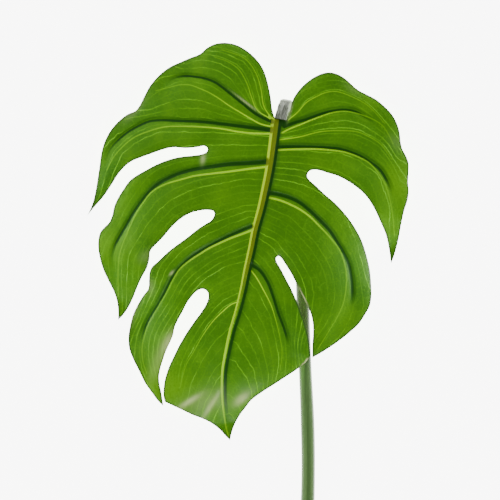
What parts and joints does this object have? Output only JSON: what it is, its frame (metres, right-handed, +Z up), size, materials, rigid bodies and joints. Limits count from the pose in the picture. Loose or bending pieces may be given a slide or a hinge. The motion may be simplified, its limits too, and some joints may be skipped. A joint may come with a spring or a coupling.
{
  "type": "monstera leaf",
  "caption": "Cut monstera leaf lying face up: split heart-shaped blade with sunk veins, arched over the round stalk that bends under it.",
  "frame": {"origin": "on the surface the leaf lies on, under the middle of its box", "axes": "+Y from the cut end of the stalk to the notch end of the blade, +Z up off the surface, +X to the right seen from above"},
  "size_m": [0.2422, 0.4506, 0.0345],
  "materials": {
    "leaf_green": "satin",
    "stem_green": "satin",
    "knee_grey": "matt"
  },
  "bodies": {
    "root": {"leaf_blade": "leaf_green", "leaf_knee": "knee_grey", "leaf_stem": "stem_green"}
  },
  "joints": []
}
